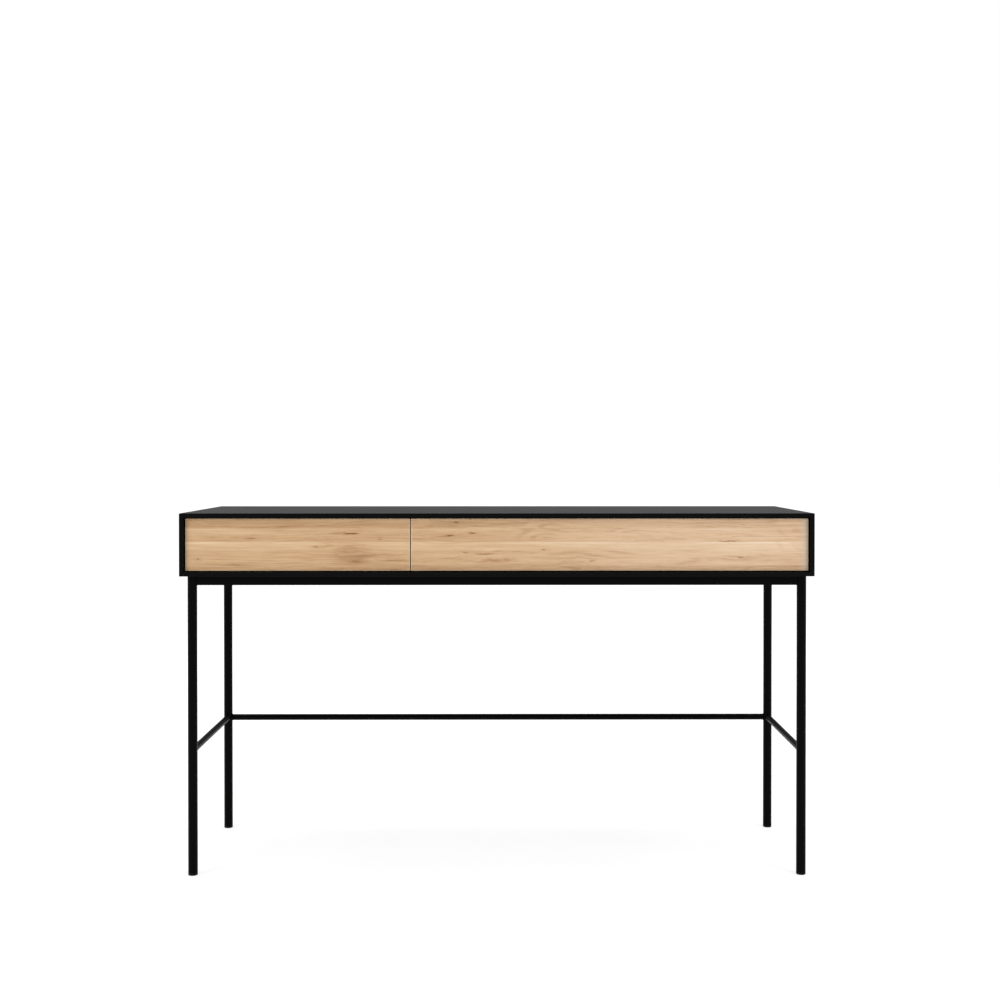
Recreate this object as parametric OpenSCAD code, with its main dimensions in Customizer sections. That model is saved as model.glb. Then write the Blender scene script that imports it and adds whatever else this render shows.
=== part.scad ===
// Writing desk: a shallow mitred case with two drawers without handles, on a light frame of steel tube.
// Millimetres. X runs to the right seen from the front, the front faces -Y, the floor is Z = 0,
// and the origin is on the floor under the middle of the case.

/* [Overall size] */
// Width of the desk across the case
desk_w = 1460; // [1200:10:1800]
// Depth of the desk from its front edge to its rear edge
desk_d = 460; // [375:5:600]
// Height of the desk top above the floor
desk_h = 840; // [690:10:1020]

/* [Case] */
// Height of the case
case_h = 145; // [120:1:180]
// Thickness of the case panels
panel_t = 10; // [8:0.5:14]
// Thickness of the back panel
back_t = 6; // [4:0.5:8]
// How far the back panel sits inside the rear edge
back_inset = 8; // [6:1:20]
// Depth of the groove that holds the back panel
back_groove = 4; // [3:0.5:5]
// Thickness of the divider between the drawers
divider_t = 16; // [15:0.5:22]
// Width of the opening for the narrow drawer
narrow_bay_w = 512; // [420:1:620]
// Thickness of the tongues glued across the mitres
spline_t = 3; // [2:0.5:4]
// Diameter of the wooden dowels that hold the divider
dowel_d = 6; // [5:0.5:8]

/* [Frame] */
// Outer diameter of the leg tubes
leg_d = 22; // [18:0.5:27]
// Wall of the leg tubes
leg_wall = 1.5; // [1.2:0.1:2.5]
// Distance from the case side to the middle of a leg
leg_side_inset = 24; // [16:1:60]
// Distance from the front and rear edges to the middle of a leg
leg_end_inset = 30; // [16:1:80]
// Width of the rails under the case
rail_w = 12; // [11:0.5:16]
// Height of the rails under the case
rail_h = 22; // [18:0.5:30]
// Wall of the rails
rail_wall = 1.5; // [1:0.1:2]
// Outer diameter of the low stretchers
stretcher_d = 15.5; // [12:0.5:18]
// Wall of the low stretchers
stretcher_wall = 1.2; // [1:0.1:2]
// Height of the stretchers' middle above the floor
stretcher_z = 289; // [120:1:420]
// Height of the foot caps below the tube
foot_h = 6; // [4:0.5:12]
// Length of the foot caps' plugs inside the tube
foot_plug = 18; // [10:1:30]
// Distance from a leg to the nearest screw in the long rails
rail_screw_inset = 146; // [60:1:300]

/* [Drawers] */
// Thickness of the drawer fronts
front_t = 18; // [15:0.5:22]
// Gap round each drawer front
front_gap = 2.4; // [1.6:0.1:4]
// How far the fronts sit behind the case edge
front_setback = 10; // [2:0.5:20]
// How far a front can be pressed in before anything behind it is met
press_clearance = 2.5; // [2.2:0.1:4]
// Thickness of the drawer box boards
box_t = 12; // [10:0.5:14]
// Gap under a drawer box
box_under = 10; // [4:0.5:14]
// Gap over a drawer box
box_over = 20; // [6:0.5:26]
// Thickness of the drawer bottoms
bottom_t = 6; // [4:0.5:8]
// Height of a drawer bottom above the lower edge of its box
bottom_lift = 10; // [6:0.5:14]
// Depth of the grooves and rebates in the box boards
box_groove = 5; // [4:0.5:6]

/* [Slides] */
// Space that a slide takes between the case and the box
slide_w = 12.7; // [12.5:0.1:13.5]
// Height of the slides
slide_h = 45.7; // [44:0.1:52]
// Thickness of the slides' steel
slide_t = 1.2; // [1:0.1:1.4]
// Diameter of the slides' balls
ball_d = 3.2; // [2.8:0.1:3.4]
// Distance from each end of a slide to its first screw
slide_screw_inset = 35; // [20:1:80]

/* [Push latches] */
// Room behind the drawer boxes for the latches
latch_room = 68; // [64:1:100]
// Outer diameter of the latch barrels
barrel_d = 16; // [14:0.5:20]
// Diameter of the plungers
plunger_d = 8; // [7:0.5:9]
// Distance from the sides of the wide opening to its latches
latch_inset = 156; // [60:1:240]

/* [Hidden] */
$fn = 48;

frame_black = "#18181a";
case_black = "#202022";
plastic_black = "#101011";
oak = "#d9b98e";
birch = "#e3cfa8";
zinc = "#b9bcc0";
brass = "#c9a858";

// what is cut runs this far past the face it opens
past = 1;
// play on each side of a board in its groove
board_play = 0.2;
// radial play of a plug or a plunger in its tube
plug_play = 0.1;
plunger_play = 0.3;

// case
case_z = desk_h - case_h;
bay_z = case_z + panel_t;
bay_h = case_h - 2 * panel_t;
bay_left = -desk_w / 2 + panel_t;
bay_right = desk_w / 2 - panel_t;
divider_left = bay_left + narrow_bay_w;
divider_right = divider_left + divider_t;
divider_x = divider_left + divider_t / 2;
case_front_y = -desk_d / 2;
back_y = desk_d / 2 - back_inset - back_t;
front_back_y = case_front_y + front_setback + front_t;
inner_front_y = front_back_y + press_clearance;
spline_w = panel_t - 2;
spline_stop = 15;
spline_depth = 0.55 * panel_t;
dowel_in_panel = panel_t - 4;
dowel_in_divider = 12;
dowel_slack = 1;
dowel_ys = [for (s = [-1, 1]) (inner_front_y + back_y) / 2 + s * (back_y - inner_front_y) * 0.36];

// frame
leg_x = desk_w / 2 - leg_side_inset;
leg_y = desk_d / 2 - leg_end_inset;
leg_bore_d = leg_d - 2 * leg_wall;
rail_bore_w = rail_w - 2 * rail_wall;
frame_screw_d = 4;
frame_head_d = rail_bore_w - 1.2;
frame_head_h = 2.6;
frame_screw_len = rail_wall + panel_t - 2.5;
insert_d = 6.5;
insert_len = panel_t - 2;
long_rail_screws = [-leg_x + rail_screw_inset, 0, leg_x - rail_screw_inset];
frame_screw_spots = concat(
    [for (x = long_rail_screws, s = [-1, 1]) [x, s * leg_y]],
    [for (s = [-1, 1]) [s * leg_x, 0]]
);

// each bay is [left wall, right wall]
narrow_bay = [bay_left, divider_left];
wide_bay = [divider_right, bay_right];
// each drawer front is [left edge, right edge]
narrow_front = [bay_left + front_gap, divider_x - front_gap / 2];
wide_front = [divider_x + front_gap / 2, bay_right - front_gap];
front_h = bay_h - 2 * front_gap;
box_depth = back_y - front_back_y - latch_room;
box_h = bay_h - box_under - box_over;
box_z = bay_z + box_under;
box_back_y = front_back_y + box_depth;
front_screw_d = 4;
front_screw_head_d = 8;
front_screw_head_h = 2.4;
front_screw_bite = front_t - 5;

// slides, across from the wall that each is screwed to
slide_z = box_z + box_h / 2;
slide_y0 = inner_front_y;
slide_y1 = inner_front_y + box_depth;
slide_len = slide_y1 - slide_y0;
slide_lip = 2.2;
ball_gap = ball_d + 0.6;
outer_half = slide_h / 2;
middle_half = outer_half - slide_t - ball_gap;
inner_half = middle_half - slide_t - ball_gap;
slide_head_h = 1.6;
slide_head_d = 6.5;
slide_screw_d = 3.5;
slide_screw_in_case = divider_t / 2 - 1;
slide_screw_in_box = box_t - 3;
outer_depth = 8.6;
middle_start = slide_t + slide_head_h + 0.4;
middle_end = slide_w - slide_t - 0.5;
inner_start = middle_start + slide_t + 1.2;
outer_ball_u = outer_depth - slide_t - ball_d / 2 - 0.2;
inner_ball_u = middle_end - slide_t - ball_d / 2 - 0.2;
cage_t = 0.8;
cage_w = 3;
cage_len = slide_len / 2 - 25;
cage_y = (slide_y0 + slide_y1) / 2;
balls_per_cage = 9;
slide_screw_ys = [slide_y0 + slide_screw_inset, (slide_y0 + slide_y1) / 2, slide_y1 - slide_screw_inset];

// latches
latch_z = slide_z;
strike_t = 1.2;
strike_w = 24;
strike_h = 30;
flange_t = 3;
flange_w = 36;
flange_h = 22;
flange_screw_x = 13;
latch_screw_d = 3;
latch_screw_head_d = 5.6;
latch_screw_head_h = 1.8;
barrel_front = back_y - latch_room + 20;
bore_end = back_y - flange_t - 3;
plunger_front = box_back_y + strike_t;
plunger_back = barrel_front + 28;
plunger_tip_d = plunger_d + 3;
plunger_tip_len = 3;
spring_d = 4.6;
spring_wire = 0.8;
spring_turns = 7;
spring_bore_d = spring_d + 0.6;
spring_bore_front = plunger_front + 11;
spring_front = spring_bore_front + press_clearance + 0.5;
narrow_latch_xs = [(narrow_bay[0] + narrow_bay[1]) / 2];
wide_latch_xs = [wide_bay[0] + latch_inset, wide_bay[1] - latch_inset];

// ---- shared shapes

// extrudes a shape drawn across (X, Z) along Y
module along_y(y0, y1)
    translate([0, y1, 0])
        rotate([90, 0, 0])
            linear_extrude(y1 - y0)
                children();

// a board given by its lowest and highest corners
module board(low, high)
    translate(low)
        cube(high - low);

// a flat rectangle with round corners, centred
module rounded_plate(w, h, r) {
    square([w, h - 2 * r], center = true);
    square([w - 2 * r, h], center = true);
    for (sx = [-1, 1], sy = [-1, 1])
        translate([sx * (w / 2 - r), sy * (h / 2 - r)])
            circle(r = r);
}

// a rod along X, Y or Z, from a start point
module rod_x(at, len, d) translate(at) rotate([0, 90, 0]) cylinder(h = len, d = d);
module rod_y(at, len, d) translate(at) rotate([-90, 0, 0]) cylinder(h = len, d = d);
module rod_z(at, len, d) translate(at) cylinder(h = len, d = d);

// a pan head screw with a cross recess, head up, shank down from Z = 0
module screw(shank_d, shank_len, head_d, head_h) {
    difference() {
        union() {
            translate([0, 0, -shank_len]) cylinder(h = shank_len + head_h / 2, d = shank_d);
            cylinder(h = head_h, d1 = head_d, d2 = head_d * 0.78);
        }
        for (turn = [0, 90])
            rotate(turn)
                translate([0, 0, head_h])
                    cube([head_d * 0.5, head_d * 0.12, head_h], center = true);
    }
}

// ---- frame

module leg(sx, sy)
    color(frame_black)
        difference() {
            rod_z([sx * leg_x, sy * leg_y, foot_h], case_z - foot_h, leg_d);
            rod_z([sx * leg_x, sy * leg_y, foot_h - past], case_z - foot_h + 2 * past, leg_bore_d);
        }

// the tubes' ends are coped to the round legs
module leg_copes()
    for (sx = [-1, 1], sy = [-1, 1])
        rod_z([sx * leg_x, sy * leg_y, -past], desk_h, leg_d);

module rail_profile()
    difference() {
        square([rail_w, rail_h], center = true);
        square([rail_bore_w, rail_h - 2 * rail_wall], center = true);
    }

// clearance holes through the rails' upper walls and access holes through their lower walls
module rail_screw_holes()
    for (spot = frame_screw_spots) {
        rod_z([spot[0], spot[1], case_z - 2 * rail_wall], 3 * rail_wall, frame_screw_d + 0.3);
        rod_z([spot[0], spot[1], case_z - rail_h - past], rail_wall + 2 * past, frame_head_d + 0.6);
    }

module long_rail(sy)
    color(frame_black)
        difference() {
            translate([-leg_x, sy * leg_y, case_z - rail_h / 2])
                rotate([90, 0, 90])
                    linear_extrude(2 * leg_x)
                        rail_profile();
            leg_copes();
            rail_screw_holes();
        }

module short_rail(sx)
    color(frame_black)
        difference() {
            translate([sx * leg_x, 0, case_z - rail_h / 2])
                along_y(-leg_y, leg_y)
                    rail_profile();
            leg_copes();
            rail_screw_holes();
        }

module side_stretcher(sx)
    color(frame_black)
        difference() {
            rod_y([sx * leg_x, -leg_y, stretcher_z], 2 * leg_y, stretcher_d);
            rod_y([sx * leg_x, -leg_y - past, stretcher_z], 2 * (leg_y + past), stretcher_d - 2 * stretcher_wall);
            leg_copes();
        }

module back_stretcher()
    color(frame_black)
        difference() {
            rod_x([-leg_x, leg_y, stretcher_z], 2 * leg_x, stretcher_d);
            rod_x([-leg_x - past, leg_y, stretcher_z], 2 * (leg_x + past), stretcher_d - 2 * stretcher_wall);
            leg_copes();
        }

// a plug in the tube over a foot of the tube's own diameter with a rounded lower edge
module foot_cap() {
    edge = min(1.5, foot_h / 3);
    plug_r = leg_bore_d / 2 - plug_play;
    rotate_extrude()
        union() {
            translate([0, edge]) square([leg_d / 2, foot_h - edge]);
            square([leg_d / 2 - edge, foot_h]);
            intersection() {
                translate([leg_d / 2 - edge, edge]) circle(r = edge);
                square([leg_d / 2, foot_h]);
            }
            translate([0, foot_h]) square([plug_r - 0.8, foot_plug]);
            for (rib = [0.2, 0.5, 0.8])
                translate([0, foot_h + rib * foot_plug]) square([plug_r, 1.2]);
        }
}

module foot_caps()
    color(plastic_black)
        for (sx = [-1, 1], sy = [-1, 1])
            translate([sx * leg_x, sy * leg_y, 0])
                foot_cap();

// the screws' heads pull on the rails' upper walls from inside
module frame_screws()
    color(zinc)
        for (spot = frame_screw_spots)
            translate([spot[0], spot[1], case_z - rail_wall])
                mirror([0, 0, 1])
                    screw(frame_screw_d, frame_screw_len, frame_head_d, frame_head_h);

module threaded_inserts()
    color(brass)
        for (spot = frame_screw_spots)
            difference() {
                rod_z([spot[0], spot[1], case_z], insert_len, insert_d);
                rod_z([spot[0], spot[1], case_z - past], insert_len + 2 * past, frame_screw_d);
            }

// ---- case

// a board lying flat with its outer face up at Z = 0, mitred at both ends
module mitred_board(len)
    along_y(-desk_d / 2, desk_d / 2)
        polygon([
            [-len / 2, 0], [len / 2, 0],
            [len / 2 - panel_t, -panel_t], [-len / 2 + panel_t, -panel_t],
        ]);

module splines(play)
    for (sx = [-1, 1], sz = [-1, 1])
        translate([
            sx * (desk_w / 2 - spline_depth), 0,
            case_z + case_h / 2 + sz * (case_h / 2 - spline_depth),
        ])
            rotate([0, 45 * sx * sz, 0])
                cube([spline_w + 2 * play, desk_d - 2 * spline_stop + 2 * play, spline_t], center = true);

// the back panel, or with play the groove that it sits in
module back_board(play)
    board(
        [bay_left - back_groove + board_play - play, back_y, bay_z - back_groove + board_play - play],
        [bay_right + back_groove - board_play + play, back_y + back_t,
            bay_z + bay_h + back_groove - board_play + play]
    );

// dowels, or with slack their blind holes
module dowels(slack)
    for (y = dowel_ys) {
        rod_z([divider_x, y, bay_z - dowel_in_panel + (dowel_slack - slack) / 2],
            dowel_in_panel + dowel_in_divider - dowel_slack + slack, dowel_d);
        rod_z([divider_x, y, bay_z + bay_h - dowel_in_divider + (dowel_slack - slack) / 2],
            dowel_in_panel + dowel_in_divider - dowel_slack + slack, dowel_d);
    }

module case_grooves() {
    splines(board_play);
    back_board(board_play);
}

module top_panel()
    color(case_black)
        difference() {
            translate([0, 0, desk_h]) mitred_board(desk_w);
            case_grooves();
            dowels(dowel_slack);
        }

module bottom_panel()
    color(case_black)
        difference() {
            translate([0, 0, case_z]) mirror([0, 0, 1]) mitred_board(desk_w);
            case_grooves();
            dowels(dowel_slack);
            for (spot = frame_screw_spots)
                rod_z([spot[0], spot[1], case_z - past], insert_len + past, insert_d);
        }

module side_panel(sx)
    color(case_black)
        difference() {
            translate([sx * desk_w / 2, 0, case_z + case_h / 2])
                rotate([0, 90 * sx, 0])
                    mitred_board(case_h);
            case_grooves();
            slide_case_holes();
        }

module back_panel()
    color(case_black)
        difference() {
            back_board(0);
            for (x = concat(narrow_latch_xs, wide_latch_xs), s = [-1, 1])
                rod_y([x + s * flange_screw_x, back_y - past, latch_z], back_t - 1 + past, latch_screw_d);
        }

module divider_panel()
    color(case_black)
        difference() {
            board([divider_left, inner_front_y, bay_z], [divider_right, back_y, bay_z + bay_h]);
            dowels(dowel_slack);
            slide_case_holes();
        }

module divider_dowels() color(birch) dowels(0);
module mitre_splines() color(birch) splines(0);

// ---- slides

// puts a shape drawn against a left wall on both walls of a bay
module on_both_walls(bay) {
    translate([bay[0], 0, slide_z]) children();
    translate([bay[1], 0, slide_z]) mirror([1, 0, 0]) children();
}

// a rolled channel: a web at one side, two flanges and two lips that keep the balls in
module channel_profile(depth, half, lip)
    for (s = [0, 1])
        mirror([0, s]) {
            square([slide_t, half]);
            translate([0, half - slide_t]) square([depth, slide_t]);
            translate([depth - slide_t, half - lip]) square([slide_t, lip]);
        }

module outer_slides(bay)
    color(zinc)
        difference() {
            on_both_walls(bay)
                along_y(slide_y0, slide_y1)
                    channel_profile(outer_depth, outer_half, slide_lip);
            slide_case_holes();
        }

module middle_slides(bay)
    color(zinc)
        on_both_walls(bay)
            translate([middle_start, 0, 0])
                along_y(slide_y0, slide_y1)
                    channel_profile(middle_end - middle_start, middle_half, slide_lip);

module inner_slides(bay)
    color(zinc)
        difference() {
            on_both_walls(bay)
                translate([slide_w, 0, 0])
                    mirror([1, 0, 0])
                        along_y(slide_y0, slide_y1)
                            channel_profile(slide_w - inner_start, inner_half, slide_t);
            slide_box_holes(bay);
        }

// strips of sheet that hold the balls between two slide members, above and below
module ball_cages(bay, u, v)
    color(zinc)
        on_both_walls(bay)
            for (s = [-1, 1])
                translate([u, cage_y, s * v])
                    ball_cage();

module ball_cage() {
    pitch = cage_len / balls_per_cage;
    cube([cage_w, cage_len, cage_t], center = true);
    for (i = [0 : balls_per_cage - 1])
        translate([0, (i - (balls_per_cage - 1) / 2) * pitch, 0])
            sphere(d = ball_d, $fn = 24);
}

module outer_ball_cages(bay) ball_cages(bay, outer_ball_u, outer_half - slide_t - ball_gap / 2);
module inner_ball_cages(bay) ball_cages(bay, inner_ball_u, middle_half - slide_t - ball_gap / 2);

module case_slide_screws()
    color(zinc)
        for (bay = [narrow_bay, wide_bay])
            on_both_walls(bay)
                for (y = slide_screw_ys)
                    translate([slide_t, y, 0])
                        rotate([0, 90, 0])
                            screw(slide_screw_d, slide_screw_in_case + slide_t, slide_head_d, slide_head_h);

module slide_case_holes()
    for (bay = [narrow_bay, wide_bay])
        on_both_walls(bay)
            for (y = slide_screw_ys)
                rod_x([-slide_screw_in_case, y, 0], slide_screw_in_case + 2 * slide_t, slide_screw_d);

module slide_box_screws(bay)
    color(zinc)
        on_both_walls(bay)
            for (y = slide_screw_ys)
                translate([slide_w - slide_t, y, 0])
                    rotate([0, -90, 0])
                        screw(slide_screw_d, slide_screw_in_box + slide_t, slide_head_d, slide_head_h);

module slide_box_holes(bay)
    on_both_walls(bay)
        for (y = slide_screw_ys)
            rod_x([slide_w - 2 * slide_t, y, 0], slide_screw_in_box + 2 * slide_t, slide_screw_d);

// ---- drawers

// the outer faces of a box between its two slides
function box_span(bay) = [bay[0] + slide_w, bay[1] - slide_w];
function front_screw_xs(bay) = let (span = box_span(bay), n = bay[1] - bay[0] > 700 ? 3 : 2)
    [for (i = [0 : n - 1]) span[0] + 60 + i * (span[1] - span[0] - 120) / (n - 1)];
function front_screw_zs() = [box_z + bottom_lift + bottom_t + 16, box_z + box_h - 20];

module front_screw_holes(bay)
    for (x = front_screw_xs(bay), z = front_screw_zs())
        rod_y([x, front_back_y - front_screw_bite, z], front_screw_bite + box_t + past, front_screw_d);

module drawer_front(edges, bay)
    color(oak)
        difference() {
            board(
                [edges[0], front_back_y - front_t, bay_z + front_gap],
                [edges[1], front_back_y, bay_z + front_gap + front_h]
            );
            front_screw_holes(bay);
        }

module front_screws(bay)
    color(zinc)
        for (x = front_screw_xs(bay), z = front_screw_zs())
            translate([x, front_back_y + box_t, z])
                rotate([-90, 0, 0])
                    screw(front_screw_d, front_screw_bite + box_t, front_screw_head_d, front_screw_head_h);

// the drawer bottom, or with play the groove round the inside of its box
module bottom_board(bay, play) {
    span = box_span(bay);
    reach = box_t - box_groove + board_play - play;
    board(
        [span[0] + reach, front_back_y + reach, box_z + bottom_lift],
        [span[1] - reach, box_back_y - reach, box_z + bottom_lift + bottom_t]
    );
}

module box_side(bay, side) {
    x = side == 0 ? box_span(bay)[0] : box_span(bay)[1] - box_t;
    rebate_x = side == 0 ? x + box_t - box_groove : x - past;
    color(birch)
        difference() {
            board([x, front_back_y, box_z], [x + box_t, box_back_y, box_z + box_h]);
            for (y = [front_back_y - past, box_back_y - box_t])
                translate([rebate_x, y, box_z - past])
                    cube([box_groove + past, box_t + past, box_h + 2 * past]);
            bottom_board(bay, board_play);
            slide_box_holes(bay);
        }
}

module box_end(bay, y)
    color(birch)
        difference() {
            board(
                [box_span(bay)[0] + box_t - box_groove, y, box_z],
                [box_span(bay)[1] - box_t + box_groove, y + box_t, box_z + box_h]
            );
            bottom_board(bay, board_play);
            // the groove runs out at both ends of the board
            board(
                [box_span(bay)[0], max(y, front_back_y + box_t - box_groove), box_z + bottom_lift],
                [box_span(bay)[1], min(y + box_t, box_back_y - box_t + box_groove),
                    box_z + bottom_lift + bottom_t]
            );
            front_screw_holes(bay);
        }

module box_bottom(bay) color(birch) bottom_board(bay, 0);

// ---- push latches

module latch_housings()
    color(plastic_black)
        for (x = concat(narrow_latch_xs, wide_latch_xs))
            translate([x, 0, latch_z])
                difference() {
                    union() {
                        rod_y([0, barrel_front, 0], back_y - barrel_front, barrel_d);
                        along_y(back_y - flange_t, back_y)
                            rounded_plate(flange_w, flange_h, 3);
                    }
                    rod_y([0, barrel_front - past, 0], bore_end - barrel_front + past,
                        plunger_d + 2 * plunger_play);
                    for (s = [-1, 1])
                        rod_y([s * flange_screw_x, back_y - flange_t - past, 0], flange_t + 2 * past,
                            latch_screw_d);
                }

module latch_screws()
    color(zinc)
        for (x = concat(narrow_latch_xs, wide_latch_xs), s = [-1, 1])
            translate([x + s * flange_screw_x, back_y - flange_t, latch_z])
                rotate([90, 0, 0])
                    screw(latch_screw_d, flange_t + back_t - 1, latch_screw_head_d, latch_screw_head_h);

// a hollow rod with a wider soft tip that rests on the strike plate
module plungers(xs)
    color(plastic_black)
        for (x = xs)
            difference() {
                union() {
                    rod_y([x, plunger_front, latch_z], plunger_tip_len, plunger_tip_d);
                    rod_y([x, plunger_front, latch_z], plunger_back - plunger_front, plunger_d);
                }
                rod_y([x, spring_bore_front, latch_z], plunger_back - spring_bore_front + past, spring_bore_d);
            }

// a ring of points round the wire at one place on the helix
function wire_ring(t, len) = let (a = t * spring_turns * 360, r = (spring_d - spring_wire) / 2)
    [for (k = [0 : 4]) let (b = k * 72, rr = r + spring_wire / 2 * cos(b))
        [rr * cos(a), t * len + spring_wire / 2 * sin(b), rr * sin(a)]];

module spring(len) {
    steps = spring_turns * 12;
    rings = [for (i = [0 : steps]) wire_ring(i / steps, len)];
    points = [for (ring = rings, p = ring) p];
    near = [for (i = [0 : steps - 1], k = [0 : 4])
        [i * 5 + k, (i + 1) * 5 + k, (i + 1) * 5 + (k + 1) % 5]];
    far = [for (i = [0 : steps - 1], k = [0 : 4])
        [i * 5 + k, (i + 1) * 5 + (k + 1) % 5, i * 5 + (k + 1) % 5]];
    first_end = [for (k = [1 : 3]) [0, k + 1, k]];
    last_end = [for (k = [1 : 3]) [steps * 5, steps * 5 + k, steps * 5 + k + 1]];
    polyhedron(points, concat(near, far, first_end, last_end), convexity = 10);
}

module latch_springs()
    color(zinc)
        for (x = concat(narrow_latch_xs, wide_latch_xs))
            translate([x, spring_front + spring_wire / 2, latch_z])
                spring(bore_end - spring_front - spring_wire);

module strike_plates(xs)
    color(zinc)
        for (x = xs)
            translate([x, 0, latch_z])
                along_y(box_back_y, box_back_y + strike_t)
                    rounded_plate(strike_w, strike_h, 2);

leg(-1, -1);  // front_left_leg
leg(1, -1);  // front_right_leg
leg(-1, 1);  // back_left_leg
leg(1, 1);  // back_right_leg
long_rail(-1);  // front_rail
long_rail(1);  // back_rail
short_rail(-1);  // left_rail
short_rail(1);  // right_rail
side_stretcher(-1);  // left_stretcher
side_stretcher(1);  // right_stretcher
back_stretcher();
foot_caps();
frame_screws();
threaded_inserts();
top_panel();
bottom_panel();
side_panel(-1);  // left_side_panel
side_panel(1);  // right_side_panel
back_panel();
divider_panel();
divider_dowels();
mitre_splines();
outer_slides(narrow_bay);  // narrow_outer_slides
outer_ball_cages(narrow_bay);  // narrow_outer_ball_cages
middle_slides(narrow_bay);  // narrow_middle_slides
inner_ball_cages(narrow_bay);  // narrow_inner_ball_cages
inner_slides(narrow_bay);  // narrow_inner_slides
outer_slides(wide_bay);  // wide_outer_slides
outer_ball_cages(wide_bay);  // wide_outer_ball_cages
middle_slides(wide_bay);  // wide_middle_slides
inner_ball_cages(wide_bay);  // wide_inner_ball_cages
inner_slides(wide_bay);  // wide_inner_slides
case_slide_screws();
drawer_front(narrow_front, narrow_bay);  // narrow_drawer_front
box_end(narrow_bay, front_back_y);  // narrow_box_front
box_end(narrow_bay, box_back_y - box_t);  // narrow_box_back
box_side(narrow_bay, 0);  // narrow_box_left
box_side(narrow_bay, 1);  // narrow_box_right
box_bottom(narrow_bay);  // narrow_box_bottom
front_screws(narrow_bay);  // narrow_front_screws
slide_box_screws(narrow_bay);  // narrow_slide_screws
drawer_front(wide_front, wide_bay);  // wide_drawer_front
box_end(wide_bay, front_back_y);  // wide_box_front
box_end(wide_bay, box_back_y - box_t);  // wide_box_back
box_side(wide_bay, 0);  // wide_box_left
box_side(wide_bay, 1);  // wide_box_right
box_bottom(wide_bay);  // wide_box_bottom
front_screws(wide_bay);  // wide_front_screws
slide_box_screws(wide_bay);  // wide_slide_screws
latch_housings();
latch_screws();
latch_springs();
plungers(narrow_latch_xs);  // narrow_plunger
plungers(wide_latch_xs);  // wide_plungers
strike_plates(narrow_latch_xs);  // narrow_strike_plate
strike_plates(wide_latch_xs);  // wide_strike_plates
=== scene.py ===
import math

import bmesh
import bpy
from mathutils import Matrix, Vector


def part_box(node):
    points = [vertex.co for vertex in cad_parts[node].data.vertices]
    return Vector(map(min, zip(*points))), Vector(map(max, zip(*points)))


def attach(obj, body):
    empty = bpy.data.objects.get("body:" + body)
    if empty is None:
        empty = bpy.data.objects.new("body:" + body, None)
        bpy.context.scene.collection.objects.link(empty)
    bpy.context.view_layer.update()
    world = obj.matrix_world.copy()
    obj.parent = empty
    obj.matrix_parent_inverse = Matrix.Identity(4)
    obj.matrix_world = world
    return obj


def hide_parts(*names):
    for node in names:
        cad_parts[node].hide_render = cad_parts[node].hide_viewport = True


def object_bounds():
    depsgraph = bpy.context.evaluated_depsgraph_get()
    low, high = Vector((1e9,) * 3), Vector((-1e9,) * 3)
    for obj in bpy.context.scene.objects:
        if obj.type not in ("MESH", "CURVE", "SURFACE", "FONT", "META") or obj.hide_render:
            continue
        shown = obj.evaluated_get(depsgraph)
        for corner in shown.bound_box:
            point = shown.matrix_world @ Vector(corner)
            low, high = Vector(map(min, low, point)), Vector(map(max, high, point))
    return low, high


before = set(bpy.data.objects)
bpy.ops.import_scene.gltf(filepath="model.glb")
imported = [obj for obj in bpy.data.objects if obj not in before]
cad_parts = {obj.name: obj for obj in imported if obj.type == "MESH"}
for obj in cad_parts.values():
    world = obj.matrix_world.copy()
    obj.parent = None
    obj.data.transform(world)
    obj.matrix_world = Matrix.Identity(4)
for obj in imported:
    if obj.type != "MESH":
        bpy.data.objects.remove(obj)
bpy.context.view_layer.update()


# ---- The studio -------------------------------------------------------------------------------
# A pale opal floor that is lit from below too, a big soft box overhead, one at each side in front
# and two dim ones behind. The front ones are flagged off from anything glossy, so that they light
# the wood and black coatings don't mirror them. The camera stands almost square to the middle of
# the desk, a little above its top.

desk_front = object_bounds()[0].y
eye = Vector((0.018, desk_front - 3.074, 0.968))
turned_right = math.radians(0.27)
tipped_down = math.radians(0.59)
lens_to_picture = 1.340

camera_settings = bpy.data.cameras.new("studio_camera")
camera_settings.sensor_width = 36
camera_settings.lens = lens_to_picture * camera_settings.sensor_width
camera_settings.shift_x = -0.0113
camera_settings.shift_y = -0.0286
camera = bpy.data.objects.new("studio_camera", camera_settings)
camera.location = eye
camera.rotation_euler = (math.pi / 2 - tipped_down, 0, -turned_right)
bpy.context.collection.objects.link(camera)
bpy.context.scene.camera = camera
bpy.context.scene.view_settings.view_transform = "Standard"


def soft_box(name, place, aim, width, height, watts, mirrored=True):
    light = bpy.data.lights.new(name, "AREA")
    light.shape = "RECTANGLE"
    light.size = width
    light.size_y = height
    light.energy = watts
    lamp = bpy.data.objects.new(name, light)
    lamp.location = place
    lamp.rotation_euler = (Vector(aim) - Vector(place)).to_track_quat("-Z", "Y").to_euler()
    lamp.visible_camera = False
    lamp.visible_glossy = mirrored
    bpy.context.collection.objects.link(lamp)


soft_box("overhead_soft_box", (0, 0.2, 3.4), (0, 0.2, 0), 5.0, 4.0, 150)
soft_box("left_soft_box", (-3.0, -2.6, 1.9), (0, -0.1, 0.6), 1.8, 1.8, 60, False)
soft_box("right_soft_box", (3.0, -2.6, 1.9), (0, -0.1, 0.6), 1.8, 1.8, 77, False)
soft_box("rear_left_soft_box", (-2.8, 3.0, 1.6), (0, 0.1, 0.5), 1.8, 1.8, 28)
soft_box("rear_right_soft_box", (2.8, 3.0, 1.6), (0, 0.1, 0.5), 1.8, 1.8, 28)


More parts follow.
